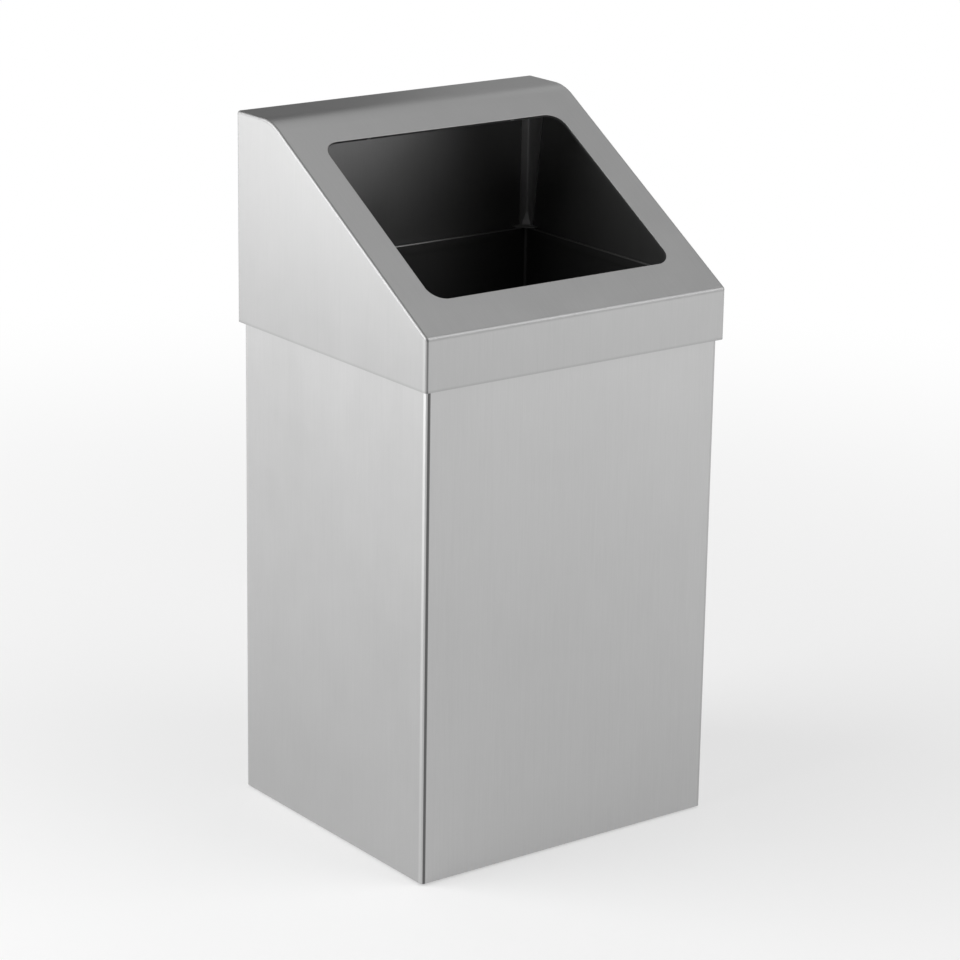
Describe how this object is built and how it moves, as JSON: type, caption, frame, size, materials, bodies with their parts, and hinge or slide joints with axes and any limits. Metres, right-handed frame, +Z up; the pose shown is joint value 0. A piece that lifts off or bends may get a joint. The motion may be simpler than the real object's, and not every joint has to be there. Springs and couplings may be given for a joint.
{
  "type": "waste bin",
  "caption": "Free-standing rectangular waste bin of brushed steel sheet, with a lift-off hood that has a large round-cornered mouth in its slope.",
  "frame": {"origin": "on the floor under the middle of the bin's outer box, which is the hood's outer size in plan", "axes": "+Z up; the front, with the slope and the mouth, faces -Y; +X is to the right of somebody who faces the front"},
  "size_m": [0.339, 0.301, 0.667],
  "materials": {
    "body_steel": "satin brushed, grain upright on the walls",
    "hood_steel": "satin brushed",
    "pan_steel": "dull mill finish",
    "bracket_steel": "dull mill finish",
    "foot_rubber": "matt moulded",
    "fastener_plate": "bright zinc plating"
  },
  "bodies": {
    "bin": {"body_wrap": "body_steel", "body_rear_panel": "body_steel", "bottom_pan": "pan_steel", "foot_front_left": "foot_rubber", "foot_front_right": "foot_rubber", "foot_rear_left": "foot_rubber", "foot_rear_right": "foot_rubber", "foot_screws": "fastener_plate", "foot_washers": "fastener_plate", "foot_nuts": "fastener_plate"},
    "hood": {"hood_shell": "hood_steel", "hood_side_left": "hood_steel", "hood_side_right": "hood_steel", "rear_bracket_left": "bracket_steel", "rear_bracket_right": "bracket_steel"}
  },
  "joints": [
    {"name": "hood_lift", "type": "slide", "parent": "bin", "child": "hood", "axis": [0, 0, 1], "range_m": [0, 0.1]}
  ]
}
